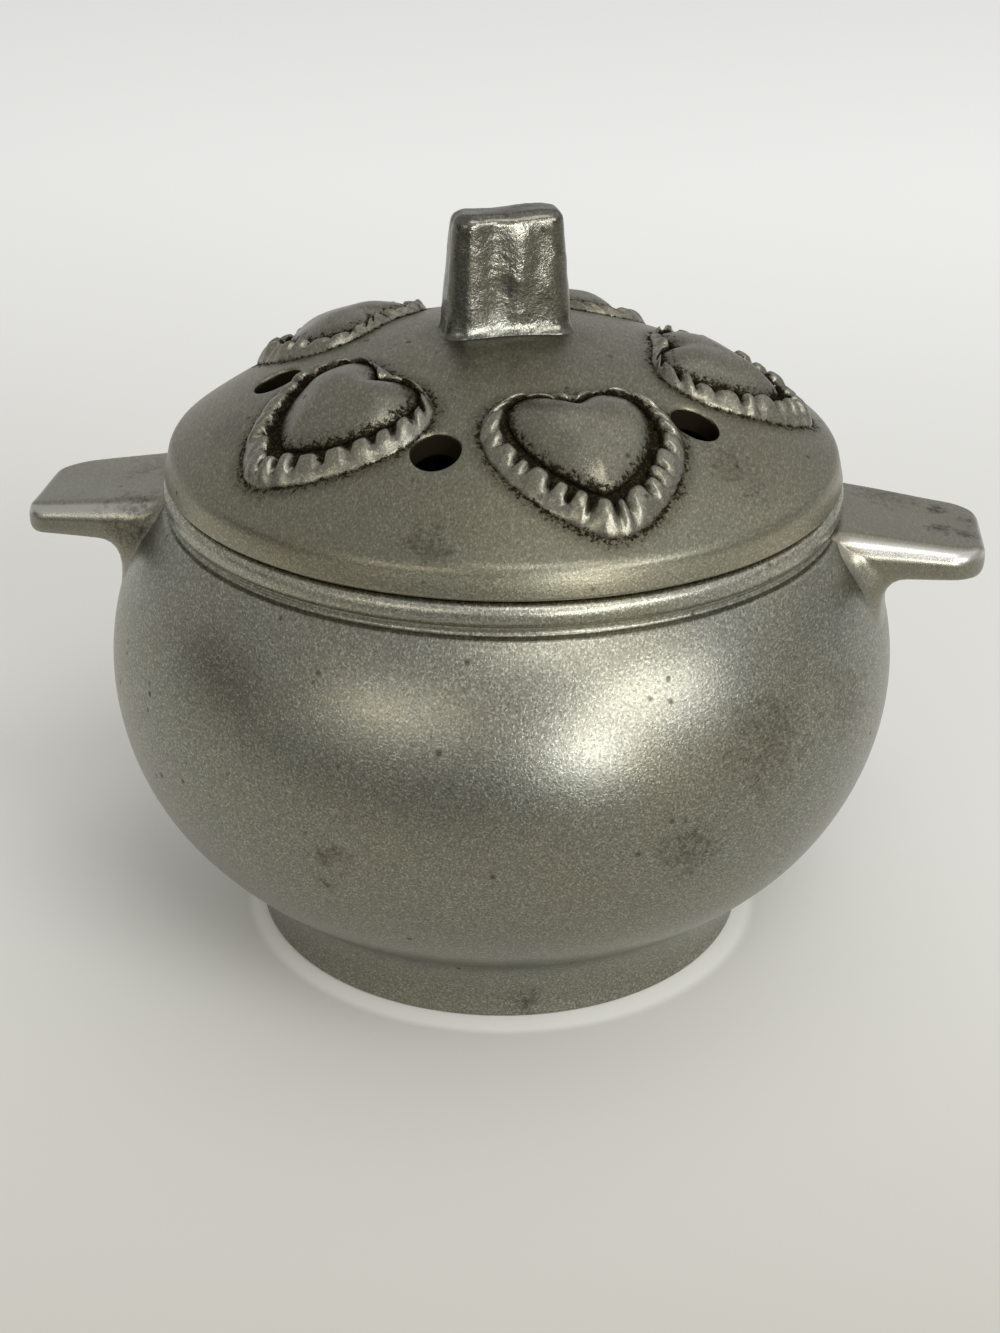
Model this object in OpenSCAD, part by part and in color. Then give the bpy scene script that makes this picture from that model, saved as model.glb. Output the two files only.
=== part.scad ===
// Potpourri pot of cast grey metal: a round-bellied pot on a foot ring with two flat lug
// handles, and a pierced lift-off lid with a post knob and five puffed hearts in pleated ruffles.
// Millimetres, +Z up. The origin is the centre of the foot's underside, and +X runs along the handles.

/* [Pot] */
// Largest diameter of the belly
belly_d = 102.4; // [94:0.2:112]
// Radius of the belly's upright curve
belly_curve_r = 34; // [31:0.5:37]
// Height of the pot's bottom above the table
floor_lift = 4; // [3:0.5:7]
// Height of the neck above the widest part of the belly
neck_rise = 20.8; // [18:0.2:23]
// Thickness of the pot's wall
wall_t = 3; // [2:0.25:4]
// Radius of the round groove at the neck
groove_r = 1; // [0.9:0.1:1.6]

/* [Rim] */
// Height of the rim above the neck
rim_h = 3.5; // [2.8:0.1:5]
// How far the rim's side stands in from the belly at the neck
rim_inset = 0.8; // [0.5:0.1:0.9]
// Rounding of the rim's top edge
rim_round = 1.1; // [0.5:0.1:1.2]

/* [Foot] */
// Diameter of the foot ring at the table
foot_d = 66.2; // [60:0.2:72]
// How much narrower the foot is at its waist, on each side
foot_taper = 1.7; // [0.5:0.1:3]
// Width of the foot ring's underside
foot_w = 4.2; // [3:0.1:6]
// Radius of the hollow curve between the foot and the belly
foot_cove_r = 3.5; // [1:0.25:4]

/* [Handles] */
// How far a handle reaches past the belly
handle_reach = 9.8; // [7:0.2:14]
// Width of a handle where it leaves the pot
handle_root_w = 19.5; // [15:0.5:24]
// Width of a handle at its tip
handle_tip_w = 16.5; // [12:0.5:20]
// Thickness of a handle where it leaves the pot
handle_root_t = 5.4; // [4:0.1:7]
// Thickness of a handle at its tip
handle_tip_t = 3.2; // [2:0.1:3.8]
// Depth of a handle's top below the neck
handle_drop = 0.2; // [0:0.1:2]
// Rounding of a handle's corners, seen from above
handle_corner_r = 4.5; // [1:0.25:5]
// Rounding of a handle's tip, seen from the side
handle_edge_r = 0.9; // [0.4:0.1:0.95]
// Radius of the hollow curve under a handle
handle_web_r = 4.5; // [2:0.25:5]

/* [Lid] */
// How far the lid's edge stands in from the rim
lid_inset = 0.4; // [0:0.1:0.8]
// Height of the lid's edge, up to where the dome would meet it
lid_edge_h = 3.4; // [2.8:0.1:5]
// Radius of the dome
dome_r = 70; // [62:1:90]
// Thickness of the dome
lid_t = 3; // [2:0.25:4]
// How far the lid's edge leans in up to the dome
lid_lean = 0.7; // [0.3:0.1:1.2]
// Rounding between the lid's edge and its dome
lid_round = 0.8; // [0.5:0.1:1.5]
// Rounding of the lid's lower edge
lid_under_round = 0.5; // [0.2:0.1:0.8]
// Depth of the locating ring under the lid
flange_h = 4.5; // [3:0.25:7]
// Thickness of the locating ring
flange_t = 2.6; // [2:0.1:4]
// Play between the locating ring and the mouth, on each side
lid_play = 0.4; // [0.3:0.05:0.8]

/* [Vents] */
// Diameter of a vent hole
vent_d = 5.8; // [4.8:0.1:6.4]
// Distance of the vent holes from the lid's edge
vent_margin = 14.6; // [12:0.2:17]

/* [Knob] */
// Width of the knob at its foot
knob_foot_w = 15.4; // [11:0.1:18]
// Depth of the knob at its foot
knob_foot_d = 7.2; // [6:0.1:11]
// Width of the knob at its top
knob_top_w = 13.5; // [9:0.1:16]
// Depth of the knob at its top
knob_top_d = 5.4; // [4.8:0.1:9]
// Height of the knob above the dome
knob_h = 14.6; // [10:0.2:20]
// How much lower one end of the knob's top lies
knob_drop = 0.2; // [0:0.1:1.5]
// Rounding of the knob's edges
knob_round = 1.6; // [0.8:0.1:2.2]
// How far the knob stands back from the middle of the lid
knob_back = 0.8; // [0:0.1:1.5]
// Turn of the knob from the line of the handles, in degrees
knob_turn = 20; // [-45:1:45]

/* [Hearts] */
// Distance of a heart's middle from the lid's edge
heart_margin = 14.9; // [13:0.1:17]
// Width of a puffed heart
heart_w = 16.4; // [13:0.2:19]
// Length of a puffed heart from its notch to its tip
heart_len = 12.9; // [11:0.1:15]
// Height of a puffed heart above the dome
heart_h = 2.9; // [2:0.1:4.5]
// Height of a puffed heart's upright edge
heart_edge_h = 0.7; // [0.5:0.1:1.8]
// Turn of the first heart from the line of the handles, in degrees
first_heart_turn = -64; // [-90:1:-40]

/* [Ruffles] */
// Width of the open groove between a heart and its ruffle
ruffle_gap = 1.2; // [0.6:0.1:1.8]
// Width of a ruffle
ruffle_w = 2.6; // [1.8:0.1:3.2]
// Height of a ruffle's crest above the dome
ruffle_h = 2.1; // [1.4:0.1:3]
// Depth of the dips between the pleats
pleat_depth = 0.5; // [0.2:0.1:0.8]

/* [Hidden] */
hearts = 5;
$fn = 96;
dome_fineness = 360;
knob_fineness = 32;

pot_colour = [0.47, 0.46, 0.43];
lid_colour = [0.43, 0.41, 0.37];
heart_colour = [0.46, 0.45, 0.41];
ruffle_colour = [0.36, 0.34, 0.29];

// Belly
belly_r = belly_d / 2;
belly_z = floor_lift + belly_curve_r;
curve_x = belly_r - belly_curve_r;
curve_centre = [curve_x, belly_z];
neck_z = belly_z + neck_rise;
neck_r = belly_at(neck_z);
mouth_r = curve_x + sqrt(pow(belly_curve_r - wall_t, 2) - pow(neck_rise, 2));

// How far a hollow curve runs into the belly, and a rounding past its edges, to end in a clean edge
curve_bite = 0.05;
corner_bite = 0.02;

// Rim and seat
rim_r = neck_r - rim_inset;
seat_z = neck_z + rim_h;

// Foot
foot_r = foot_d / 2;
waist_r = foot_r - foot_taper;
cove_x = waist_r + foot_cove_r;
cove_reach = belly_curve_r + foot_cove_r - curve_bite;
cove_z = belly_z - sqrt(pow(cove_reach, 2) - pow(cove_x - curve_x, 2));
cove_centre = [cove_x, cove_z];

// Handles
handle_tip_x = belly_r + handle_reach;
handle_top_z = neck_z - handle_drop;
handle_under_z = handle_top_z - handle_root_t;
web_z = handle_under_z - handle_web_r;
web_reach = belly_curve_r + handle_web_r - curve_bite;
web_x = curve_x + sqrt(pow(web_reach, 2) - pow(web_z - belly_z, 2));
web_centre = [web_x, web_z];

// Lid
lid_r = rim_r - lid_inset;
dome_z = seat_z + lid_edge_h - sqrt(pow(dome_r, 2) - pow(lid_r, 2));
dome_centre = [0, dome_z];
dome_top_z = dome_z + dome_r;
lid_top_r = lid_r - lid_lean;
lid_corner = [lid_top_r, dome_z + sqrt(pow(dome_r, 2) - pow(lid_top_r, 2))];
flange_r = mouth_r - lid_play;
hollow_r = flange_r - flange_t;

// Hearts and vents round the lid, each a little off its even place as set by hand
pitch = 360 / hearts;
heart_ring_r = lid_r - heart_margin;
heart_turn = [0, -2.8, -0.7, 1.4, 3.5];
drift = 0.2;
heart_shift = drift * [4, 0, 0, -5, -2];
heart_lean = [-4.5, -2, 0, 0, -4.5];
vent_ring_r = lid_r - vent_margin;
vent_turn = [-3.4, -0.9, 1.6, 4.1, 0.1];

// A heart's outline is a sum of waves round its edge, which widen as it grows outward
heart_middle = 7;
widest_reach = 2.3;
heart_lobe = 1.2;
lobe_reach = 11;
bow_reach = 38;
bow_ratio = 0.2;
notch_ratio = 0.68;
tip_ratio = 1.32;
widest_ratio = 0.4;
heart_sides = 48;
puff_step = 15;
pleats = 24;
pleat_sides = 4;
ruffle_sides = pleats * pleat_sides;
length_steps = 180;
seat_depth = 1;

// Shape of a ruffle's section, as shares of its width and of its crest's height
notch_crest_ratio = 0.7;
lip_ratio = 0.75;
crest_ratio = 0.3;
shoulder_ratio = 0.7;
shoulder_rise_ratio = 0.65;
hem_ratio = 0.15;

function belly_at(z) = curve_x + sqrt(pow(belly_curve_r, 2) - pow(z - belly_z, 2));
function unit(v) = v / norm(v);
function toward(from, to, distance) = from + unit(to - from) * distance;
function mix(a, b, share) = a + (b - a) * share;

// Point of a heart's outline at an angle round it (0 at the notch, 180 at the tip), as [along, across]
function heart_outline(angle, grow) =
    let (
        notch = -notch_ratio * grow,
        tip = heart_len + tip_ratio * grow,
        widest = widest_reach + widest_ratio * grow,
        lobe = heart_lobe * (1 - grow / lobe_reach),
        bow = bow_ratio - grow / bow_reach,
        half = (tip + notch) / 2,
        along = (half + widest) / 2 - (tip - notch) / 2 * cos(angle)
            + (half - widest) / 2 * cos(2 * angle) - lobe * (cos(angle) - cos(3 * angle)),
        across = (heart_w / 2 + grow) * (sin(angle) - bow * sin(3 * angle)) / (1 + bow)
    )
    [along, across];

// Plan point and height above the dome, as a point in space
function on_dome(plan, height) =
    let (rise = sqrt(pow(dome_r, 2) - plan * plan), reach = 1 + height / dome_r)
    [plan.x * reach, plan.y * reach, dome_z + rise * reach];

// Heart-frame point [along, across] of heart i, before the heart is turned round the lid
function heart_plan(i, p) =
    let (a = p.x - heart_middle, lean = heart_lean[i - 1])
    [heart_ring_r + heart_shift[i - 1] + a * cos(lean) - p.y * sin(lean), a * sin(lean) + p.y * cos(lean)];

function heart_angle(i) = first_heart_turn + pitch * (i - 1) + heart_turn[i - 1];
function vent_angle(i) = first_heart_turn + pitch * (i - 1) + pitch / 2 + vent_turn[i - 1];

// Angle round the outline against the length run along it, so that the pleats come out even
ruffle_middle = ruffle_gap + ruffle_w / 2;
function middle_point(step) = heart_outline(step * 360 / length_steps, ruffle_middle);
run_table = [
    for (step = 0, run = 0; step <= length_steps;
        run = run + norm(middle_point(step + 1) - middle_point(step)), step = step + 1)
    [run, step * 360 / length_steps]
];
run_length = run_table[length_steps][0];
function pleat_angle(side) = lookup(side / ruffle_sides * run_length, run_table);

// Quads between rings of points, each split in two, with the rings listed one after another
function ring_faces(rings, sides, closed) = [
    for (k = [0 : closed ? rings - 1 : rings - 2])
    for (s = [0 : sides - 1])
    let (
        a = k * sides + s,
        b = k * sides + (s + 1) % sides,
        c = (k + 1) % rings * sides + (s + 1) % sides,
        d = (k + 1) % rings * sides + s
    )
    each [[a, c, b], [a, d, c]]
];

// What a rounded corner takes off a profile: the corner at p between the edges toward a and b
module corner_waste(p, a, b, r) {
    half = acos(unit(a - p) * unit(b - p)) / 2;
    middle = unit(unit(a - p) + unit(b - p));
    centre = p + middle * (r / sin(half) - corner_bite);
    reach = r / tan(half);
    difference() {
        polygon([p - middle * r, toward(p, a, reach), centre, toward(p, b, reach)]);
        translate(centre) circle(r);
    }
}

// Filled upright half-section of the belly, inset from its outside
module belly_section(inset, top) {
    low = floor_lift + inset;
    translate([0, low]) square([curve_x, top - low]);
    intersection() {
        translate(curve_centre) circle(belly_curve_r - inset);
        translate([curve_x, low]) square([belly_curve_r, top - low]);
    }
}

module neck_groove() {
    translate([neck_r, neck_z]) circle(groove_r);
}

module belly_solid() {
    rotate_extrude() belly_section(0, neck_z);
}

module pot_body() {
    color(pot_colour) rotate_extrude() difference() {
        belly_section(0, neck_z);
        belly_section(wall_t, neck_z + wall_t);
        neck_groove();
    }
}

module pot_rim() {
    corner = [rim_r, seat_z];
    color(pot_colour) rotate_extrude() difference() {
        translate([mouth_r, neck_z]) square([rim_r - mouth_r, rim_h]);
        neck_groove();
        corner_waste(corner, [mouth_r, seat_z], [rim_r, neck_z], rim_round);
    }
}

module foot_ring() {
    inner_r = foot_r - foot_w;
    inside = toward(curve_centre, cove_centre, belly_curve_r - foot_cove_r / 2);
    color(pot_colour) rotate_extrude() difference() {
        union() {
            polygon([
                [inner_r, 0],
                [foot_r, 0],
                [waist_r, cove_z],
                [waist_r, inside.y],
                [inner_r, inside.y]
            ]);
            difference() {
                polygon([[waist_r, cove_z], cove_centre, inside, [waist_r, inside.y]]);
                translate(cove_centre) circle(foot_cove_r);
            }
        }
        translate(curve_centre) circle(belly_curve_r);
    }
}

// Side view of a handle's flat lug, from inside the pot out to its tip
module lug_side() {
    tip_top = [handle_tip_x, handle_under_z + handle_tip_t];
    tip_under = [handle_tip_x, handle_under_z];
    root_top = [neck_r, handle_top_z];
    inside_under = [curve_x, handle_under_z];
    difference() {
        polygon([inside_under, tip_under, tip_top, root_top, [curve_x, handle_top_z]]);
        corner_waste(tip_top, root_top, tip_under, handle_edge_r);
        corner_waste(tip_under, tip_top, inside_under, handle_edge_r);
    }
}

// Half-section of the web that curves from a handle's underside down into the belly
module web_section() {
    inside = toward(curve_centre, web_centre, belly_curve_r - handle_web_r / 2);
    top = handle_under_z + handle_tip_t / 2;
    difference() {
        polygon([[curve_x, top], [web_x, top], web_centre, inside, [curve_x, inside.y]]);
        translate(web_centre) circle(handle_web_r);
    }
}

module handle_plan() {
    root = [neck_r, handle_root_w / 2];
    tip = [handle_tip_x, handle_tip_w / 2];
    inside = [curve_x, handle_root_w / 2];
    difference() {
        polygon([for (p = [inside, root, tip]) p, for (p = [tip, root, inside]) [p.x, -p.y]]);
        for (side = [1, -1]) {
            corner = [tip.x, tip.y * side];
            corner_waste(corner, [root.x, root.y * side], [tip.x, 0], handle_corner_r);
        }
    }
}

module handle() {
    color(pot_colour) difference() {
        intersection() {
            linear_extrude(neck_z) handle_plan();
            union() {
                rotate([90, 0, 0]) linear_extrude(handle_root_w, center = true) lug_side();
                rotate_extrude() web_section();
            }
        }
        belly_solid();
    }
}

module right_handle() {
    handle();
}

module left_handle() {
    rotate([0, 0, 180]) handle();
}

// Ball of the dome's outer face, laid on its side so that its poles stay clear of the pieces it cuts
module dome_ball() {
    translate([0, 0, dome_z]) rotate([90, 0, 0]) sphere(dome_r, $fn = dome_fineness);
}

module vent_drill(i) {
    rotate([0, 0, vent_angle(i)]) translate([vent_ring_r, 0, seat_z])
        cylinder(d = vent_d, h = dome_top_z + heart_h - seat_z);
}

module lid_section() {
    low_corner = [lid_r, seat_z];
    dome_tangent = [dome_z - lid_corner.y, lid_corner.x];
    difference() {
        intersection() {
            translate(dome_centre) circle(dome_r);
            polygon([[0, seat_z], low_corner, lid_corner, [lid_top_r, dome_top_z], [0, dome_top_z]]);
        }
        intersection() {
            translate(dome_centre) circle(dome_r - lid_t);
            square([hollow_r, dome_top_z]);
        }
        corner_waste(lid_corner, lid_corner + dome_tangent, low_corner, lid_round);
        corner_waste(low_corner, [0, seat_z], lid_corner, lid_under_round);
    }
}

module lid_dome() {
    color(lid_colour) difference() {
        rotate_extrude() lid_section();
        for (i = [1 : hearts]) vent_drill(i);
    }
}

module lid_flange() {
    color(lid_colour) translate([0, 0, seat_z - flange_h]) difference() {
        cylinder(r = flange_r, h = flange_h);
        translate([0, 0, -flange_h]) cylinder(r = hollow_r, h = flange_h * 3);
    }
}

// Half width and half depth of the knob's ball centres at a height above the dome's top
function knob_half(height) = [
    mix(knob_foot_w, knob_top_w, height / knob_h) / 2 - knob_round,
    mix(knob_foot_d, knob_top_d, height / knob_h) / 2 - knob_round
];

module lid_knob() {
    sunk = -knob_foot_d;
    top = knob_h - knob_round;
    color(lid_colour) difference() {
        rotate([0, 0, knob_turn]) hull()
            for (x = [-1, 1])
            for (y = [-1, 1])
            for (height = [sunk, top]) {
                half = knob_half(height);
                drop = height == top && x < 0 ? knob_drop : 0;
                translate([half.x * x, half.y * y + knob_back, dome_top_z + height - drop])
                    sphere(knob_round, $fn = knob_fineness);
            }
        dome_ball();
    }
}

// Puffed heart: an upright edge, then rings that close in over the crown
module heart_boss(i) {
    crown = [for (a = [0 : puff_step : 90 - puff_step]) a];
    rings = len(crown) + 1;
    outline = [for (s = [0 : heart_sides - 1]) heart_outline(s * 360 / heart_sides, 0)];
    middle = [heart_middle - widest_reach, 0];
    low_ring = [for (p = outline) on_dome(heart_plan(i, p), -seat_depth)];
    crown_rings = [
        for (a = crown)
        for (p = outline)
        on_dome(heart_plan(i, mix(middle, p, cos(a))), mix(heart_edge_h, heart_h, sin(a)))
    ];
    low_point = on_dome(heart_plan(i, middle), -seat_depth);
    top_point = on_dome(heart_plan(i, middle), heart_h);
    low_index = rings * heart_sides;
    last_ring = (rings - 1) * heart_sides;
    caps = [
        for (s = [0 : heart_sides - 1])
        let (next = (s + 1) % heart_sides)
        each [[s, next, low_index], [last_ring + next, last_ring + s, low_index + 1]]
    ];
    color(heart_colour) rotate([0, 0, heart_angle(i)]) difference() {
        polyhedron(
            points = concat(low_ring, crown_rings, [low_point, top_point]),
            faces = concat(ring_faces(rings, heart_sides, false), caps));
        dome_ball();
    }
}

// Pleated ruffle: a closed band round the heart, with its crest and its inner edge waved by the pleats
module heart_ruffle(i) {
    outer = ruffle_gap + ruffle_w;
    band = [
        for (side = [0 : ruffle_sides - 1])
        let (
            angle = pleat_angle(side),
            wave = (1 - cos(side / pleat_sides * 360)) / 2,
            crest = ruffle_h * mix(notch_crest_ratio, 1, (1 - cos(angle)) / 2),
            dip = pleat_depth * wave
        )
        [angle, crest, dip]
    ];
    // Grow from the heart and height of each corner of the band's section, for one side
    section = [
        for (b = band)
        [
            [ruffle_gap + b[2], -seat_depth],
            [ruffle_gap + b[2], b[1] * lip_ratio - b[2]],
            [mix(ruffle_gap, outer, crest_ratio), b[1] - b[2]],
            [mix(ruffle_gap, outer, shoulder_ratio), b[1] * shoulder_rise_ratio - b[2]],
            [outer, b[1] * hem_ratio],
            [outer, -seat_depth]
        ]
    ];
    rings = len(section[0]);
    points = [
        for (k = [0 : rings - 1])
        for (side = [0 : ruffle_sides - 1])
        let (corner = section[side][k])
        on_dome(heart_plan(i, heart_outline(band[side][0], corner[0])), corner[1])
    ];
    color(ruffle_colour) difference() {
        rotate([0, 0, heart_angle(i)])
            polyhedron(points = points, faces = ring_faces(rings, ruffle_sides, true));
        dome_ball();
        vent_drill(i);
        vent_drill(i == 1 ? hearts : i - 1);
    }
}

pot_body();
pot_rim();
foot_ring();
right_handle();
left_handle();
lid_flange();
lid_dome();
lid_knob();
for (i = [1 : hearts]) heart_boss(i);
for (i = [1 : hearts]) heart_ruffle(i);
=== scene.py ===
import math
import random

import bmesh
import bpy
import numpy as np
from mathutils import Matrix, Vector, noise


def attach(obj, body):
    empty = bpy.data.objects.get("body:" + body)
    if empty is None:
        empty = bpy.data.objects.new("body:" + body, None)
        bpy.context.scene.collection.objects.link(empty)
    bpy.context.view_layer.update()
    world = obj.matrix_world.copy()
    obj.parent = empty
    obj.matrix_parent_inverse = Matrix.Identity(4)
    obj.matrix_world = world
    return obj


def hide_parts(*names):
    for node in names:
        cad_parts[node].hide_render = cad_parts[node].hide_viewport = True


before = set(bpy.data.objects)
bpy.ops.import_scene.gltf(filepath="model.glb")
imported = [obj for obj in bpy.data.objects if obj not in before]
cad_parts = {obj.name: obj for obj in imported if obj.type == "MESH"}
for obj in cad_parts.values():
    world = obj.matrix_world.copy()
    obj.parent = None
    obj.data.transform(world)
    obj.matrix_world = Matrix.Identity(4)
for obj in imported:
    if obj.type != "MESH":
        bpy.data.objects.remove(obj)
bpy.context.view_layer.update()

# Sizes in millimetres, as on the solids
# Belly, foot, handles and knob differ a little from them, to follow the photograph's outline
MM = 0.001

# Belly, rim and foot
CURVE_R = 32.4
CURVE_X = 18.55
BELLY_Z = 37.25
INSIDE_R = 31.0
INSIDE_X = 17.2
INSIDE_Z = 38.0
NECK_Z = 58.8
LIP_DROP = 1.1
LIP_DRAW = 0.3
SHELF_DROP = 0.6
SHELF_W = 0.55
GROOVE_X = 42.3
RIM_R = 43.25
RIM_ROUND = 1.5
MOUTH_R = 40.2
MOUTH_ROUND = 0.5
SEAT_Z = 62.3
FOOT_R = 33.1
FOOT_ROUND = 0.6
FOOT_LEAN = 0.04
FOOT_INNER_R = 28.9
FOOT_INNER_ROUND = 0.5
FOOT_BITE = (1.0, 0.9)
WAIST_R = 32.9
COVE_R = 12.0

# Handles
HANDLE_ROOT = 44.1
HANDLE_TIP = 61.0
HANDLE_TOP_Z = 58.8
HANDLE_UNDER_Z = 53.05
HANDLE_TIP_T = 3.5
HANDLE_ROOT_W = 21.6
HANDLE_TIP_W = 17.1
HANDLE_EDGE = 1.3
HANDLE_FLARE = 2.6
HANDLE_TOP_FLARE = 0.3
HANDLE_SPREAD = 4.4
HANDLE_SINK = 1.2
HANDLE_DIP = 0.18
WEB_REACH = 5.4
WEB_DEPTH = 10.0
WEB_TAPER = 0.3
RIGHT_CORNERS = (4.2, 4.2)
LEFT_CORNERS = (5.2, 2.4)

# Lid
LID_R = 42.9
LID_EDGE = 3.4
LID_LEAN = 0.7
LID_WALL = 3.0
LID_PLAY = 0.4
RING_DEPTH = 4.5
RING_WALL = 2.6
RING_ROUND = 0.45
RING_R = MOUTH_R - LID_PLAY
HOLLOW_R = RING_R - RING_WALL
DOME_R = 70.0
DOME_Z = SEAT_Z + LID_EDGE - math.sqrt(DOME_R ** 2 - LID_R ** 2)
DOME_TOP = DOME_Z + DOME_R
VENT_R = 2.9
VENT_MARGIN = 14.6
VENT_SOFT = 0.45
VENT_SPARE = 0.9

# Knob
KNOB_H = 14.6
KNOB_TURN = 20.0
KNOB_FOOT = (16.3, 7.2)
KNOB_TOP = (13.5, 5.4)
KNOB_RIGHT = 0.28
KNOB_BACK = 0.8
KNOB_ROUND = 1.3
KNOB_CORNER = 0.7
KNOB_RELIEF = 0.16
KNOB_WAVE = 0.13

# Hearts and ruffles
HEARTS = 5
HEART_PITCH = 360 / HEARTS
HEART_MARGIN = 14.9
HEART_FIRST = -64.0
HEART_W = 16.4
HEART_LEN = 12.9
HEART_H = 2.9
HEART_EDGE = 0.7
HEART_MIDDLE = 7.0
HEART_WIDEST = 2.3
HEART_LOBE = 1.2
HEART_BOW = 0.2
HEART_TURN = (0, -2.8, -0.7, 1.4, 3.5)
HEART_SHIFT = (0.8, 0, 0, -1, -0.4)
HEART_LEAN = (-4.5, -2, 0, 0, -4.5)
VENT_TURN = (-3.4, -0.9, 1.6, 4.1, 0.1)
RUFFLE_GAP = 1.2
RUFFLE_W = 2.6
RUFFLE_H = 2.1
RUFFLE_EDGE = RUFFLE_GAP + RUFFLE_W
PLEATS = 24

# How far a heart's notch, tip and widest place move as its outline grows by a millimetre
NOTCH_GROW = 0.68
TIP_GROW = 1.32
WIDEST_GROW = 0.4

# Growth in millimetres that takes the lobes away, and that takes 1 off the bow
LOBE_FADE = 11
BOW_FADE = 38

# Marks of dirt and painted shade on the dome, their widths in millimetres and their strengths
HEART_GRIME_SHADE_W = 2.4
HEART_GRIME_SHADE = 1.6
KNOB_GRIME_SHADE_W = 3.0
KNOB_GRIME_SHADE = 0.5
KNOB_REACH = 7.0
KNOB_LENGTHEN = 1.25
# Inside the vents the mark is painted shade
VENT_SHADE = 3.0

TURN_STEPS = 192
SEED_STEPS = (17.3, 5.1, 9.7)


# Shaping

def mix(a, b, share):
    return a + (b - a) * share


def smooth(low, high, value):
    share = min(max((value - low) / (high - low), 0), 1)
    return share * share * (3 - 2 * share)


def arc(centre, radius, start, end, steps):
    """Points of an arc, from one angle to another in degrees."""
    turns = np.radians(np.linspace(start, end, steps + 1))
    return [(centre[0] + radius * math.cos(a), centre[1] + radius * math.sin(a)) for a in turns]


def bend(start, corner, end, steps=5):
    """Points of a rounded corner, without its two ends."""
    shares = [(k + 1) / (steps + 1) for k in range(steps)]
    sides = list(zip(start, corner, end))
    return [tuple(mix(mix(s, c, t), mix(c, e, t), t) for s, c, e in sides) for t in shares]


def lathe(section, closed=True):
    """A section of (radius, height) points turned round the upright axis."""
    bm = bmesh.new()
    verts = [bm.verts.new((r, 0, z)) for r, z in section]
    ends = verts[1:] + (verts[:1] if closed else [])
    edges = [bm.edges.new(pair) for pair in zip(verts, ends)]
    bmesh.ops.spin(bm, geom=verts + edges, axis=(0, 0, 1), cent=(0, 0, 0), angle=2 * math.pi,
                   steps=TURN_STEPS, use_merge=True)
    close_up(bm)
    return bm


def close_up(bm):
    """Joins the seams and poles of a shape and turns its faces outwards."""
    bmesh.ops.remove_doubles(bm, verts=bm.verts, dist=1e-3)
    bmesh.ops.dissolve_degenerate(bm, edges=bm.edges, dist=1e-4)
    bmesh.ops.recalc_face_normals(bm, faces=bm.faces)


def wrap(columns, rows, place, marks=()):
    """A sheet of columns by rows faces, put in place corner by corner, with its seams joined.

    place(column, row) gives a corner's position, followed by its values for the named marks."""
    bm = bmesh.new()
    bmesh.ops.create_grid(bm, x_segments=columns, y_segments=rows, size=0.5)
    layers = [bm.verts.layers.float.new(name) for name in marks]
    for v in bm.verts:
        column = round((v.co.x + 0.5) * columns)
        row = round((v.co.y + 0.5) * rows)
        position, *values = place(column % columns, row)
        v.co = position
        for layer, value in zip(layers, values):
            v[layer] = value
    close_up(bm)
    return bm


def roughen(bm, depth, size, seed, above=-1):
    """Moves the surface in and out by a little, as on a sand casting, from a height up."""
    shift = Vector([seed * step for step in SEED_STEPS])
    moved = [v for v in bm.verts if v.co.z > above]
    moves = [v.normal * noise.noise(v.co / size + shift) * depth for v in moved]
    for v, move in zip(moved, moves):
        v.co += move


def make_piece(name, bm, node, body, material, crease=40):
    """Puts a shape into the scene, in metres, riding on its body in place of its solid."""
    bmesh.ops.scale(bm, vec=(MM, MM, MM), verts=bm.verts)
    mesh = bpy.data.meshes.new(name)
    bm.to_mesh(mesh)
    bm.free()
    mesh.shade_smooth()
    mesh.set_sharp_from_angle(angle=math.radians(crease))
    mesh.materials.append(material)
    piece = bpy.data.objects.new(name, mesh)
    bpy.context.scene.collection.objects.link(piece)
    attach(piece, body)
    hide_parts(node)


# Node building

def put(tree, kind, inputs=None, **settings):
    """Adds a node, with its settings, and its inputs set or linked."""
    made = tree.nodes.new(kind)
    for key, value in settings.items():
        setattr(made, key, value)
    for key, value in (inputs or {}).items():
        if isinstance(value, bpy.types.NodeSocket):
            tree.links.new(value, made.inputs[key])
        else:
            made.inputs[key].default_value = value
    return made


def calc(tree, operation, a, b=0.0):
    return put(tree, "ShaderNodeMath", {0: a, 1: b}, operation=operation).outputs[0]


def ease(tree, value, low, high, to_low=0.0, to_high=1.0):
    """A value spread smoothly over a range."""
    made = put(tree, "ShaderNodeMapRange", {0: value, 1: low, 2: high, 3: to_low, 4: to_high},
               interpolation_type="SMOOTHSTEP")
    return made.outputs[0]


def blend_value(tree, share, a, b):
    return put(tree, "ShaderNodeMix", {0: share, 2: a, 3: b}, data_type="FLOAT").outputs[0]


def blend_colour(tree, share, a, b, mode="MIX"):
    made = put(tree, "ShaderNodeMix", {0: share, 6: a, 7: b}, data_type="RGBA", blend_type=mode)
    return made.outputs[2]


def cloud(tree, vector, cells, detail=2.0, rough=0.5):
    """Noise with so many cells to a metre."""
    made = put(tree, "ShaderNodeTexNoise",
               {"Vector": vector, "Scale": cells, "Detail": detail, "Roughness": rough})
    return made.outputs[0]


def torn(tree, vector, cells, rough, strength):
    """Noise about zero that tears up an edge."""
    centred = calc(tree, "SUBTRACT", cloud(tree, vector, cells, 4.0, rough), 0.5)
    return calc(tree, "MULTIPLY", centred, strength)


def new_material(name):
    """An empty node material and its tree."""
    material = bpy.data.materials.new(name)
    material.use_nodes = True
    material.node_tree.nodes.clear()
    return material, material.node_tree


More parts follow.
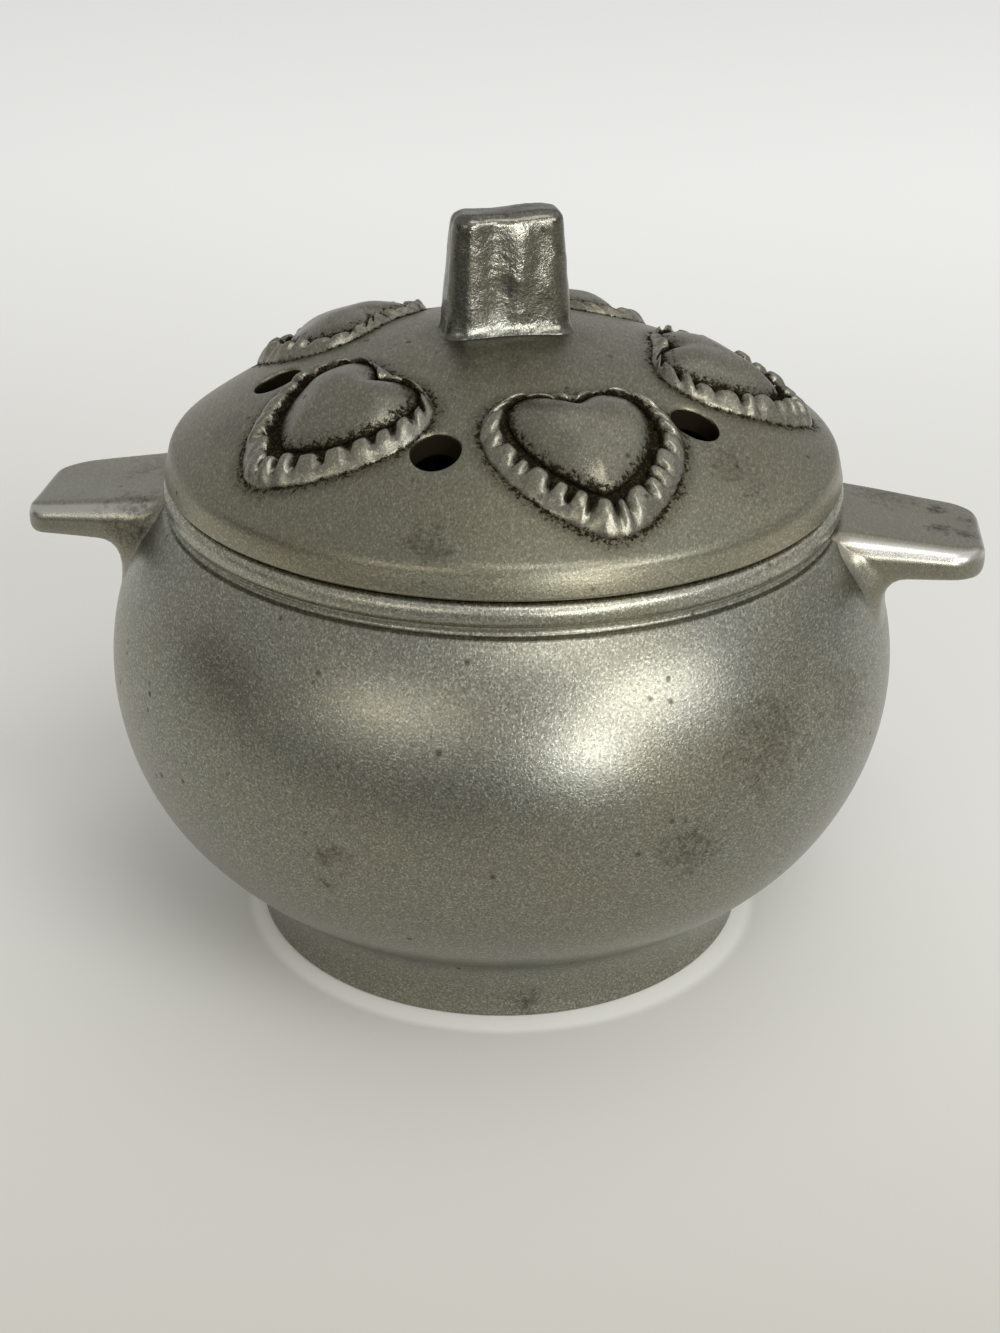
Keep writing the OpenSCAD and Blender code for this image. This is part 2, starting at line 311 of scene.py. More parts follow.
def new_group(name, inputs, outputs):
    """A node group with named sockets: the group, the outputs of its input node and its output node."""
    group = bpy.data.node_groups.new(name, "ShaderNodeTree")
    for label, kind in inputs.items():
        group.interface.new_socket(label, in_out="INPUT", socket_type="NodeSocket" + kind)
    for label, kind in outputs.items():
        group.interface.new_socket(label, in_out="OUTPUT", socket_type="NodeSocket" + kind)
    return group, group.nodes.new("NodeGroupInput").outputs, group.nodes.new("NodeGroupOutput")


def put_out(group, result, values):
    """Links a group's named values to its output node."""
    for label, value in values.items():
        group.links.new(value, result.inputs[label])


# Finish, with noise in cells to a metre and colours as linear light

STROKE_CELLS = (3800, 1050, 3800)
STROKE_TURNS = (((0.3, 0.2, 0.4), 3.0), ((0.9, 1.3, 1.5), 11.0), ((1.9, 0.5, 2.6), 23.0))
FINE_CELLS = 3600
MOTTLE_CELLS = 75
PIT_CELLS = 430
PIT_PATCH_CELLS = 190
STAIN_CELLS = 620
SPECKLE_CELLS = 1700
GRIME_SHADE_CELLS = 1500
FLECK_CELLS = 2600
LUMP_CELLS = 1100
LUMP_PATCH_CELLS = 210
BRIGHT_STROKE = 1.75
DARK_STROKE = 0.5
WARM_TONE = (1.0, 0.968, 0.89, 1)
COOL_TONE = (0.92, 0.953, 0.963, 1)
TONE_SHARE = 0.6
# Colour of edges rubbed bright by hands, also a painted highlight
POLISHED_HIGHLIGHT_METAL = (0.5, 0.49, 0.45, 1)
# Brown of stains, used also to tint painted shade in corners and hollows
STAIN_SHADE_BROWN = (0.2, 0.16, 0.1, 1)
PIT_DARK = (0.03, 0.027, 0.02, 1)
# Dark colour of dirt and of painted shade in hollows
DIRT_SHADE_DARK = (0.014, 0.011, 0.0065, 1)
DIRT_FLECK = (0.06, 0.049, 0.029, 1)
DIRT_ROUGH = 0.9
SHEEN_FADE = 0.4
BUMP_DEPTH = 2.2e-5


def tumbled_grain():
    """Short bright and dark tumbling strokes in all directions, slow mottling and small casting pits."""
    labels = ("Bright", "Dark", "Fine", "Mottle", "Pits", "Height")
    group, given, result = new_group("tumbled_grain", {"Vector": "Vector"}, dict.fromkeys(labels, "Float"))
    vector = given["Vector"]
    strokes = []
    for turn, seed in STROKE_TURNS:
        laid = put(group, "ShaderNodeMapping", {"Vector": vector, "Location": (seed, seed, seed),
                                                "Rotation": turn, "Scale": STROKE_CELLS})
        strokes.append(cloud(group, laid.outputs[0], 1.0, 1.0))
    most = calc(group, "MAXIMUM", calc(group, "MAXIMUM", strokes[0], strokes[1]), strokes[2])
    least = calc(group, "MINIMUM", calc(group, "MINIMUM", strokes[0], strokes[1]), strokes[2])
    bright = ease(group, most, 0.58, 0.76)
    dark = ease(group, least, 0.42, 0.24)
    fine = cloud(group, vector, FINE_CELLS, 2.0, 0.6)
    mottle = cloud(group, vector, MOTTLE_CELLS, 4.0, 0.6)
    cells = put(group, "ShaderNodeTexVoronoi", {"Vector": vector, "Scale": PIT_CELLS, "Randomness": 1.0})
    sparse = ease(group, cloud(group, vector, PIT_PATCH_CELLS, 2.0), 0.56, 0.64)
    pits = calc(group, "MULTIPLY", ease(group, cells.outputs["Distance"], 0.24, 0.08), sparse)
    raised = calc(group, "MULTIPLY", calc(group, "SUBTRACT", bright, dark), 0.3)
    height = calc(group, "ADD", raised, calc(group, "MULTIPLY", fine, 0.5))
    height = calc(group, "SUBTRACT", height, calc(group, "MULTIPLY", pits, 0.7))
    put_out(group, result, dict(zip(labels, (bright, dark, fine, mottle, pits, height))))
    return group


def dull_spot():
    """A ragged, speckled brown mark round a centre, for stains and for painted shade in corners."""
    group, given, result = new_group(
        "dull_spot", {"Vector": "Vector", "Centre": "Vector", "Width": "Float"}, {"Spot": "Float"})
    vector = given["Vector"]
    apart = put(group, "ShaderNodeVectorMath", {0: vector, 1: given["Centre"]}, operation="DISTANCE")
    far = calc(group, "DIVIDE", apart.outputs["Value"], given["Width"])
    ragged = calc(group, "ADD", far, torn(group, vector, STAIN_CELLS, 0.7, 3.2))
    speckle = ease(group, cloud(group, vector, SPECKLE_CELLS, 2.0, 0.6), 0.36, 0.6, 0.25, 1.0)
    put_out(group, result, {"Spot": calc(group, "MULTIPLY", ease(group, ragged, 1.0, 0.1), speckle)})
    return group


def caught_grime_and_shade():
    """Dark patina and painted shade where a mark is strong, broken up along its edge, and its flecked
    colour.

    The strongest marks, deep in the vents, are painted shade and have no flecks."""
    group, given, result = new_group(
        "caught_grime_and_shade", {"Vector": "Vector", "Mark": "Float", "Start": "Float"},
        {"GrimeShade": "Float", "DirtShade": "Color"})
    vector = given["Vector"]
    level = calc(group, "ADD", given["Mark"], torn(group, vector, GRIME_SHADE_CELLS, 0.75, 2.4))
    level = calc(group, "SUBTRACT", level, given["Start"])
    flecks = ease(group, cloud(group, vector, FLECK_CELLS, 3.0, 0.7), 0.5, 0.68)
    flecks = calc(group, "MULTIPLY", flecks, ease(group, given["Mark"], 2.8, 1.8))
    put_out(group, result, {"GrimeShade": ease(group, level, -0.05, 0.3),
                            "DirtShade": blend_colour(group, flecks, DIRT_SHADE_DARK, DIRT_FLECK)})
    return group


def sheen_band():
    """A band between two levels painted brighter, a painted sheen for the highlight there, fading out at
    both.
    """
    group, given, result = new_group(
        "sheen_band", {"Vector": "Vector", "Low": "Float", "High": "Float"}, {"Sheen": "Float"})
    level = put(group, "ShaderNodeSeparateXYZ", {0: given["Vector"]}).outputs["Z"]
    fade = SHEEN_FADE * MM
    rise = ease(group, level, calc(group, "SUBTRACT", given["Low"], fade),
                calc(group, "ADD", given["Low"], fade))
    fall = ease(group, level, calc(group, "ADD", given["High"], fade),
                calc(group, "SUBTRACT", given["High"], fade))
    put_out(group, result, {"Sheen": calc(group, "MULTIPLY", rise, fall)})
    return group


def lumpy_skin():
    """Height of a lumpy casting skin, stronger in patches."""
    group, given, result = new_group(
        "lumpy_skin", {"Vector": "Vector", "Strength": "Float"}, {"Height": "Float"})
    vector = given["Vector"]
    patchy = ease(group, cloud(group, vector, LUMP_PATCH_CELLS, 1.0), 0.42, 0.6, 0.9, 3.6)
    strength = calc(group, "MULTIPLY", patchy, given["Strength"])
    lumps = calc(group, "MULTIPLY", cloud(group, vector, LUMP_CELLS, 2.0, 0.55), strength)
    put_out(group, result, {"Height": lumps})
    return group


GRAIN = tumbled_grain()
SPOT = dull_spot()
GRIME_AND_SHADE = caught_grime_and_shade()
SHEEN_BAND = sheen_band()
LUMPS = lumpy_skin()


def pewter(name, colour, roughness, grain, lumps=0.0, stains_and_shade=(), painted_sheen=(), polish_and_highlight="", grime_and_shade="",
           grime_shade_start=0.0):
    """Dull cast pewter, with tumbled grain and pits.

    lumps roughens the casting. stains are places in millimetres, each with a width and a strength: brown
    stains, and painted shade as well where they sit at the lugs' roots.
    worn holds the lowest and the highest level in millimetres of a band painted brighter as a painted
    sheen, and how much brighter it is. polish names the mark of edges rubbed bright by hands and painted
    brighter still as the highlight they catch, grime the mark of dirt and of painted shade in hollows,
    and grime_shade_start is how strong that mark is where the darkening begins."""
    material, tree = new_material(name)
    place = put(tree, "ShaderNodeTexCoord").outputs["Object"]
    grained = put(tree, "ShaderNodeGroup", {"Vector": place}, node_tree=GRAIN).outputs
    bright = tuple(c * BRIGHT_STROKE for c in colour) + (1,)
    dark = tuple(c * DARK_STROKE for c in colour) + (1,)
    shaded = ease(tree, grained["Fine"], 0.3, 0.7, 0.0, 0.32 * grain)
    base = blend_colour(tree, shaded, colour + (1,), dark)
    base = blend_colour(tree, calc(tree, "MULTIPLY", grained["Dark"], 0.7 * grain), base, dark)
    base = blend_colour(tree, calc(tree, "MULTIPLY", grained["Bright"], 0.8 * grain), base, bright)
    tone = blend_colour(tree, ease(tree, grained["Mottle"], 0.35, 0.65), WARM_TONE, COOL_TONE)
    base = blend_colour(tree, TONE_SHARE, base, tone, "MULTIPLY")
    # Upper lug edges: rubbed bright by handling and painted brighter as the highlight they catch
    if polish_and_highlight:
        polished_highlight = put(tree, "ShaderNodeAttribute", attribute_name=polish_and_highlight).outputs["Fac"]
        base = blend_colour(tree, polished_highlight, base, POLISHED_HIGHLIGHT_METAL)
    # Painted sheen: the band is painted brighter to stand in for the highlight it catches
    if painted_sheen:
        low, high, gain = painted_sheen
        band = put(tree, "ShaderNodeGroup", {"Vector": place, "Low": low * MM, "High": high * MM},
                   node_tree=SHEEN_BAND)
        base = blend_colour(tree, band.outputs["Sheen"], base, (gain, gain, gain, 1), "MULTIPLY")
    for *centre, width, strength in stains_and_shade:
        inputs = {"Vector": place, "Centre": [c * MM for c in centre], "Width": width * MM}
        spot = put(tree, "ShaderNodeGroup", inputs, node_tree=SPOT)
        stained = calc(tree, "MULTIPLY", spot.outputs["Spot"], strength)
        base = blend_colour(tree, stained, base, STAIN_SHADE_BROWN, "MULTIPLY")
    base = blend_colour(tree, calc(tree, "MULTIPLY", grained["Pits"], 0.8), base, PIT_DARK)
    rough = ease(tree, grained["Fine"], 0.3, 0.7, roughness + 0.05, roughness - 0.05)
    metal = calc(tree, "SUBTRACT", 1.0, calc(tree, "MULTIPLY", grained["Pits"], 0.6))
    if grime_and_shade:
        mark = put(tree, "ShaderNodeAttribute", attribute_name=grime_and_shade).outputs["Fac"]
        caught = put(tree, "ShaderNodeGroup", {"Vector": place, "Mark": mark, "Start": grime_shade_start},
                     node_tree=GRIME_AND_SHADE).outputs
        # Brown tint and dark patina where the mark is strong, partly painted shade in hollows and corners
        base = blend_colour(tree, ease(tree, mark, 0.0, 0.9, 0.0, 0.45), base, STAIN_SHADE_BROWN, "MULTIPLY")
        base = blend_colour(tree, caught["GrimeShade"], base, caught["DirtShade"])
        rough = blend_value(tree, caught["GrimeShade"], rough, DIRT_ROUGH)
        metal = calc(tree, "MULTIPLY", metal, ease(tree, caught["GrimeShade"], 0.0, 1.0, 1.0, 0.15))
    height = grained["Height"]
    if lumps:
        skin = put(tree, "ShaderNodeGroup", {"Vector": place, "Strength": lumps / grain}, node_tree=LUMPS)
        height = calc(tree, "ADD", height, skin.outputs["Height"])
    bump = put(tree, "ShaderNodeBump", {"Height": height, "Strength": 1.0, "Distance": BUMP_DEPTH * grain})
    shader = put(tree, "ShaderNodeBsdfPrincipled",
                 {"Base Color": base, "Roughness": rough, "Metallic": metal, "Normal": bump.outputs[0],
                  "Specular IOR Level": 0.0})
    put(tree, "ShaderNodeOutputMaterial", {"Surface": shader.outputs[0]})
    return material


# Each stain's x, y, z and width in millimetres, and its strength
POT_STAINS = ((26.5, -43.2, 33, 5, 0.55), (-14.3, -48.4, 32, 3, 0.55), (35, -36.2, 43.5, 9, 0.45),
              (44, -24.4, 43.8, 7, 0.4), (-15.3, -47.1, 27.8, 1.8, 0.6), (6.8, -32.2, 2.4, 2.8, 0.55))
# Handle stains; the three widest, at the lugs' roots, are brown stain and painted shade in the corners
# against the pot
LUG_STAINS_AND_SHADE = ((55.3, 4.3, 57.3, 2.1, 1.0), (59.0, 2.1, 56.8, 1.8, 1.0), (55.4, -2.4, 57.3, 2.3, 1.0),
              (58.6, -2.3, 56.9, 2.4, 0.8), (48.5, 6.4, 58.2, 6.0, 0.55), (-46, -9.4, 56, 6.0, 0.6),
              (-46.5, 2.5, 58.4, 5.0, 0.5))
LID_STAINS = ((29.2, -20, 70.8, 6, 0.45), (-4, -40, 67.7, 4, 0.5), (0, 1, 78.5, 16, 0.32),
              (-31, -15, 70.5, 6, 0.35))

# The bright bands on the pot's rim and the lid's edge are a painted sheen for the highlights there
POT_PEWTER = pewter("pot_pewter", (0.258, 0.254, 0.214), roughness=0.32, grain=1.1, stains_and_shade=POT_STAINS,
                    painted_sheen=(NECK_Z, SEAT_Z + 1, 1.35))
HANDLE_PEWTER = pewter("handle_pewter", (0.27, 0.26, 0.212), roughness=0.29, grain=0.4,
                       stains_and_shade=LUG_STAINS_AND_SHADE, polish_and_highlight="polish_and_highlight")
# The lid's colour is browner than the pot's, and darker partly as painted shade for weaker light from
# overhead
LID_PEWTER = pewter("lid_pewter", (0.215, 0.205, 0.155), roughness=0.38, grain=0.75, stains_and_shade=LID_STAINS,
                    painted_sheen=(SEAT_Z - 9, SEAT_Z + LID_EDGE - 0.5, 1.4), grime_and_shade="grime_and_shade", grime_shade_start=0.72)
# The knob's darker colour is painted shade, standing in for the darker things its face reflects
KNOB_PEWTER = pewter("knob_pewter", (0.132, 0.13, 0.112), roughness=0.2, grain=0.7, lumps=0.9)
HEART_PEWTER = pewter("heart_pewter", (0.21, 0.2, 0.16), roughness=0.31, grain=0.75,
                      grime_and_shade="grime_and_shade", grime_shade_start=0.5)
RUFFLE_PEWTER = pewter("ruffle_pewter", (0.235, 0.225, 0.182), roughness=0.33, grain=0.75, lumps=0.35,
                       grime_and_shade="grime_and_shade", grime_shade_start=0.45)


# Pot

def curve_at(z):
    """Distance of the belly's outside from the axis at a height."""
    return CURVE_X + math.sqrt(max(CURVE_R ** 2 - (z - BELLY_Z) ** 2, 0))


def pot_belly():
    """Round belly up to the groove at its neck, and the hollow inside."""
    lip_turn = math.degrees(math.asin((NECK_Z - LIP_DROP - BELLY_Z) / CURVE_R))
    mouth_turn = math.degrees(math.asin((NECK_Z - INSIDE_Z) / INSIDE_R))
    outside = arc((CURVE_X, BELLY_Z), CURVE_R, -90, lip_turn, 90)
    inside = arc((INSIDE_X, INSIDE_Z), INSIDE_R, mouth_turn, -90, 56)
    lip = (outside[-1][0] - LIP_DRAW, NECK_Z - SHELF_DROP)
    shelf = (GROOVE_X + SHELF_W, NECK_Z - SHELF_DROP)
    groove = (GROOVE_X, NECK_Z)
    section = [(0, outside[0][1])] + outside + bend(outside[-1], lip, shelf) + [shelf]
    section += bend(shelf, (GROOVE_X, shelf[1]), groove) + [groove] + inside + [(0, inside[-1][1])]
    bm = lathe(section, closed=False)
    roughen(bm, depth=0.08, size=16, seed=1)
    return bm


def pot_rim():
    """Rounded bead above the groove, with the lid's seat on top."""
    under = (GROOVE_X + 0.05, NECK_Z + 0.45)
    low_corner = (RIM_R - 0.1, NECK_Z + 0.7)
    side_low = (RIM_R, NECK_Z + 1.6)
    side_top = (RIM_R, SEAT_Z - RIM_ROUND)
    top_corner = (RIM_R - 0.05, SEAT_Z - 0.1)
    seat_out = (RIM_R - RIM_ROUND, SEAT_Z)
    seat_in = (MOUTH_R + MOUTH_ROUND, SEAT_Z)
    mouth = (MOUTH_R, SEAT_Z - MOUTH_ROUND)
    section = [(GROOVE_X, NECK_Z), under] + bend(under, low_corner, side_low, 6)
    section += [side_low, side_top] + bend(side_top, top_corner, seat_out, 9)
    section += [seat_out, seat_in] + bend(seat_in, (MOUTH_R, SEAT_Z), mouth) + [mouth, (MOUTH_R, NECK_Z)]
    return lathe(section)


def foot_ring():
    """Low foot, curving softly out of the belly."""
    cove_x = WAIST_R + COVE_R
    cove_z = BELLY_Z - math.sqrt((CURVE_R + COVE_R) ** 2 - (cove_x - CURVE_X) ** 2)
    turn = math.degrees(math.atan2(BELLY_Z - cove_z, CURVE_X - cove_x))
    cove = arc((cove_x, cove_z), COVE_R, 180, turn, 24)
    edge_in = (FOOT_R - FOOT_ROUND, 0)
    edge_up = (FOOT_R - FOOT_LEAN, FOOT_ROUND)
    inner_up = (FOOT_INNER_R, FOOT_INNER_ROUND)
    inner_out = (FOOT_INNER_R + FOOT_INNER_ROUND, 0)
    belly_under = BELLY_Z - math.sqrt(CURVE_R ** 2 - (FOOT_INNER_R - CURVE_X) ** 2)
    bite_in, bite_up = FOOT_BITE
    section = [edge_in] + bend(edge_in, (FOOT_R, 0), edge_up) + [edge_up] + cove
    section += [(cove[-1][0] - bite_in, cove[-1][1] + bite_up), (FOOT_INNER_R, belly_under + bite_in)]
    section += [inner_up] + bend(inner_up, (FOOT_INNER_R, 0), inner_out) + [inner_out]
    bm = lathe(section)
    roughen(bm, depth=0.08, size=16, seed=1, above=2)
    return bm


def rounded_box(half_x, half_y, radii, per_side, per_corner=6, flat=0.0):
    """Points round a rounded rectangle, from its right side on, with their outward directions.

    radii holds the radius of the two upper corners and of the two lower ones. flat draws the upper
    corners in towards a bevel."""
    arcs = []
    for sx, sy, start in ((1, 1, 0), (-1, 1, 90), (-1, -1, 180), (1, -1, 270)):
        radius = radii[0] if sy > 0 else radii[1]
        centre = Vector((sx * (half_x - radius), sy * (half_y - radius)))
        turns = [math.radians(start + 90 * k / per_corner) for k in range(per_corner + 1)]
        outs = [Vector((math.cos(a), math.sin(a))) for a in turns]
        reach = [radius * mix(1, 1 / (abs(out.x) + abs(out.y)), flat if sy > 0 else 0) for out in outs]
        arcs.append([(centre + out * far, out) for out, far in zip(outs, reach)])
    found = []
    for k, count in enumerate(per_side):
        end, out = arcs[k][-1]
        start = arcs[(k + 1) % 4][0][0]
        found += arcs[k] + [(end.lerp(start, (n + 1) / (count + 1)), out) for n in range(count)]
    return found


def handle(corners):
    """Flat lug with a broad upper edge and a crisper lower one, flowing into the belly at its root.

    corners holds the radii of the tip's two corners in plan, the one at the lower y first."""
    per_side = (24, 3, 14, 3)
    corner_count = len(rounded_box(2, 1, (0.5, 0.5), per_side))
    root_turns = [90, *range(90, 0, -10)]
    straight = [k / 14 for k in range(14)]
    tip_turns = np.radians(np.linspace(0, 90, 16))
    rows = len(root_turns) + len(straight) + len(tip_turns)
    widest = max(corners)

    def cut_back(radius, reach):
        """How far a corner of this radius has drawn in at a distance from the axis."""
        return radius - math.sqrt(max(radius ** 2 - max(reach - HANDLE_TIP + radius, 0) ** 2, 0))

    def section(k, reach):
        """Corner k of the lug's section at a distance from the axis, with its outward direction."""
        along = min(max((reach - HANDLE_ROOT) / (HANDLE_TIP - HANDLE_ROOT), 0), 1)
        top = mix(HANDLE_TOP_Z, HANDLE_UNDER_Z + HANDLE_TIP_T, along)
        half_t = (top - HANDLE_UNDER_Z) / 2
        middle = HANDLE_UNDER_Z + half_t
        half_t -= cut_back(HANDLE_EDGE, reach)
        low, high = (cut_back(radius, reach) for radius in corners)
        half_w = (mix(HANDLE_ROOT_W, HANDLE_TIP_W, along) - low - high) / 2
        edges = (half_t * 0.85, half_t * 0.4)
        point, out = rounded_box(half_w, half_t, edges, per_side, flat=0.3)[k]
        return point.x + (low - high) / 2, middle + point.y, out

    def place(k, row):
        y, z, out = section(k, HANDLE_ROOT)
        under = smooth(mix(HANDLE_UNDER_Z, HANDLE_TOP_Z, 0.75), HANDLE_UNDER_Z, z)
        flare = mix(mix(HANDLE_FLARE, WEB_REACH, under), HANDLE_TOP_FLARE, smooth(0, 0.8, out.y))
        start = curve_at(z) + flare
        if row < len(root_turns):
            a = math.radians(root_turns[row])
            spread = 1 - math.cos(a)
            y, z, out = section(k, start)
            y = y * (1 - WEB_TAPER * under * spread) + out.x * min(flare, HANDLE_SPREAD) * spread
            z -= under * WEB_DEPTH * spread
            sink = HANDLE_SINK if row == 0 else HANDLE_DIP * math.sin(a) ** 6
            reach = mix(curve_at(z), start, 1 - math.sin(a)) - sink
            straighten = 0
        else:
            step = row - len(root_turns)
            if step < len(straight):
                reach = mix(start, HANDLE_TIP - widest, straight[step])
            else:
                a = tip_turns[min(step - len(straight), len(tip_turns) - 1)]
                reach = HANDLE_TIP - widest + widest * math.sin(a)
            y, z, out = section(k, reach)
            straighten = smooth(start, HANDLE_TIP, reach)
            if row == rows:
                z = HANDLE_UNDER_Z + HANDLE_TIP_T / 2
        x = mix(math.sqrt(max(reach ** 2 - y ** 2, 0)), reach, straighten)
        # Mark of the upper edges: rubbed by handling and painted brighter as a highlight
        upper_edge_highlight = smooth(0.1, 0.5, out.y) * smooth(0.99, 0.85, out.y)
        return Vector((x, y, z)), upper_edge_highlight * smooth(start, start + 2, reach)

    bm = wrap(corner_count, rows, place, ("polish_and_highlight",))
    roughen(bm, depth=0.1, size=7, seed=4)
    return bm


def left_handle():
    """A handle turned half round, with corners of its own."""
    bm = handle(LEFT_CORNERS)
    bmesh.ops.rotate(bm, cent=(0, 0, 0), matrix=Matrix.Rotation(math.pi, 3, "Z"), verts=bm.verts)
    return bm


# Lid

def on_dome(x, y, height):
    """A point above the dome, from its place in plan."""
    rise = math.sqrt(DOME_R ** 2 - x * x - y * y)
    reach = 1 + height / DOME_R
    return Vector((x * reach, y * reach, DOME_Z + rise * reach))


def heart_outline(angle, grow):
    """Points [along, across] of a heart's outline, with 0 at the notch and half a turn at the tip."""
    notch = -NOTCH_GROW * grow
    tip = HEART_LEN + TIP_GROW * grow
    widest = HEART_WIDEST + WIDEST_GROW * grow
    lobe = HEART_LOBE * (1 - grow / LOBE_FADE)
    bow = HEART_BOW - grow / BOW_FADE
    half = (tip + notch) / 2
    along = ((half + widest) / 2 - (tip - notch) / 2 * np.cos(angle)
             + (half - widest) / 2 * np.cos(2 * angle) - lobe * (np.cos(angle) - np.cos(3 * angle)))
    across = (HEART_W / 2 + grow) * (np.sin(angle) - bow * np.sin(3 * angle)) / (1 + bow)
    return along, across


def heart_plan(i, along, across):
    """Heart i's own [along, across] as x and y in plan."""
    a = along - HEART_MIDDLE
    lean = math.radians(HEART_LEAN[i])
    x = LID_R - HEART_MARGIN + HEART_SHIFT[i] + a * math.cos(lean) - across * math.sin(lean)
    y = a * math.sin(lean) + across * math.cos(lean)
    turn = math.radians(HEART_FIRST + HEART_PITCH * i + HEART_TURN[i])
    return x * math.cos(turn) - y * math.sin(turn), x * math.sin(turn) + y * math.cos(turn)


def vent_centre(i):
    turn = math.radians(HEART_FIRST + HEART_PITCH * (i + 0.5) + VENT_TURN[i])
    return Vector((math.cos(turn), math.sin(turn))) * (LID_R - VENT_MARGIN)


def pierce(bm, centre):
    """A round vent with softened edges through both faces of the dome."""
    cut = VENT_R + VENT_SPARE
    near = [f for f in bm.faces if min((v.co.xy - centre).length for v in f.verts) < cut]
    bmesh.ops.delete(bm, geom=near, context="FACES")
    open_edges = [e for e in bm.edges if e.is_boundary]
    inner_r = DOME_R - LID_WALL
    middle = DOME_R - LID_WALL / 2
    outer = [e for e in open_edges if (e.verts[0].co - Vector((0, 0, DOME_Z))).length > middle]
    inner = [e for e in open_edges if e not in outer]
    ring = bmesh.ops.create_circle(bm, segments=48, radius=VENT_R + VENT_SOFT)["verts"]
    edges = list({e for v in ring for e in v.link_edges})
    # How far each loop is wider than the bore and above the face, and that face's radius
    levels = [(VENT_SOFT, 0, DOME_R), (0.12, -0.10, DOME_R), (0, -0.36, DOME_R), (0, -0.7, DOME_R),
              (0, 0.4, inner_r), (0.35, 0, inner_r)]
    loops = []
    for widen, lift, radius in levels:
        if loops:
            made = bmesh.ops.extrude_edge_only(bm, edges=edges)["geom"]
            ring = [g for g in made if isinstance(g, bmesh.types.BMVert)]
            edges = [g for g in made if isinstance(g, bmesh.types.BMEdge)]
        for v in ring:
            out = (v.co.xy - (centre if loops else Vector((0, 0)))).normalized()
            spot = centre + out * (VENT_R + widen)
            v.co = (spot.x, spot.y, DOME_Z + math.sqrt(radius ** 2 - spot.length_squared) + lift)
        loops.append(edges)
    bmesh.ops.bridge_loops(bm, edges=outer + loops[0])
    bmesh.ops.bridge_loops(bm, edges=inner + loops[-1])


def gap_to_hearts(x, y):
    """Distance in plan from each point to the nearest ruffle's outer edge, less than 0 inside."""
    angles = np.linspace(0, 2 * np.pi, 240, endpoint=False)
    along, across = heart_outline(angles, RUFFLE_EDGE)
    least = np.full(len(x), np.inf)
    for i in range(HEARTS):
        px, py = heart_plan(i, along, across)
        far = np.hypot(x[:, None] - px, y[:, None] - py).min(1)
        nx, ny = np.roll(px, -1), np.roll(py, -1)
        crosses = (py > y[:, None]) != (ny > y[:, None])
        side = (nx - px) * (y[:, None] - py) / np.where(ny == py, 1e-9, ny - py) + px
        inside = (crosses & (x[:, None] < side)).sum(1) % 2 == 1
        least = np.minimum(least, np.where(inside, -far, far))
    return least


def mark_grime_and_shade(bm):
    """Marks dirt and painted shade on the dome round the hearts and the knob, and painted shade inside the
    vents.
    """
    layer = bm.verts.layers.float.new("grime_and_shade")
    spots = np.array([v.co for v in bm.verts])
    centres = np.array([vent_centre(i) for i in range(HEARTS)])
    gaps = gap_to_hearts(spots[:, 0], spots[:, 1])
    posts = np.hypot(spots[:, 0] / KNOB_LENGTHEN, spots[:, 1]) - KNOB_REACH
    vents = np.hypot(spots[:, :1] - centres[:, 0], spots[:, 1:2] - centres[:, 1]).min(1)
    levels = np.linalg.norm(spots - (0, 0, DOME_Z), axis=1)
    for v, gap, post, vent, level in zip(bm.verts, gaps, posts, vents, levels):
        if level > DOME_R - 0.3:
            # Round the hearts: patina and painted shade in the grooves and where the ruffles meet the dome
            near_heart = min(max(1 - gap / HEART_GRIME_SHADE_W, 0), HEART_GRIME_SHADE)
            # Round the knob's foot: dirt and painted shade
            near_knob = KNOB_GRIME_SHADE * min(max(1 - post / KNOB_GRIME_SHADE_W, 0), 1)
            v[layer] = max(near_heart, near_knob)
        # Inside the vents: painted shade, near black
        elif vent < VENT_R + 0.05:
            v[layer] = VENT_SHADE * smooth(DOME_R - 0.25, DOME_R - 0.7, level)


def lid_dome():
    """Domed lid with a soft, slightly leaning edge, hollow below and pierced by the vents."""
    centre = (0, DOME_Z)
    shoulder_r = LID_R - LID_LEAN
    shoulder_z = DOME_Z + math.sqrt(DOME_R ** 2 - shoulder_r ** 2)
    dome = arc(centre, DOME_R, 90, math.degrees(math.acos((shoulder_r - 0.75) / DOME_R)), 56)
    band_top = (LID_R - 0.56, shoulder_z - 0.85)
    band_low = (LID_R, SEAT_Z + 0.75)
    under = (LID_R - 0.75, SEAT_Z + 0.12)
    section = dome + bend(dome[-1], (shoulder_r, shoulder_z), band_top, 7) + [band_top, band_low]
    section += bend(band_low, (LID_R, SEAT_Z + 0.32), under) + [under, (LID_R - 1.3, SEAT_Z)]
    inner_r = DOME_R - LID_WALL
    inner_turn = math.degrees(math.acos(HOLLOW_R / inner_r))
    section += [(HOLLOW_R, SEAT_Z)] + arc(centre, inner_r, inner_turn, 90, 30)
    bm = lathe(section, closed=False)
    roughen(bm, depth=0.07, size=13, seed=7)
    for i in range(HEARTS):
        pierce(bm, vent_centre(i))
    bmesh.ops.recalc_face_normals(bm, faces=bm.faces)
    mark_grime_and_shade(bm)
    return bm


def lid_ring():
    """Locating ring under the lid, with a rounded lower edge."""
    low = SEAT_Z - RING_DEPTH
    out_low = (RING_R - RING_ROUND, low)
    out_up = (RING_R, low + RING_ROUND)
    in_low = (HOLLOW_R + RING_ROUND, low)
    in_up = (HOLLOW_R, low + RING_ROUND)
    section = [in_low, out_low] + bend(out_low, (RING_R, low), out_up) + [out_up, (RING_R, SEAT_Z)]
    section += [(HOLLOW_R, SEAT_Z), in_up] + bend(in_up, (HOLLOW_R, low), in_low)
    return lathe(section)


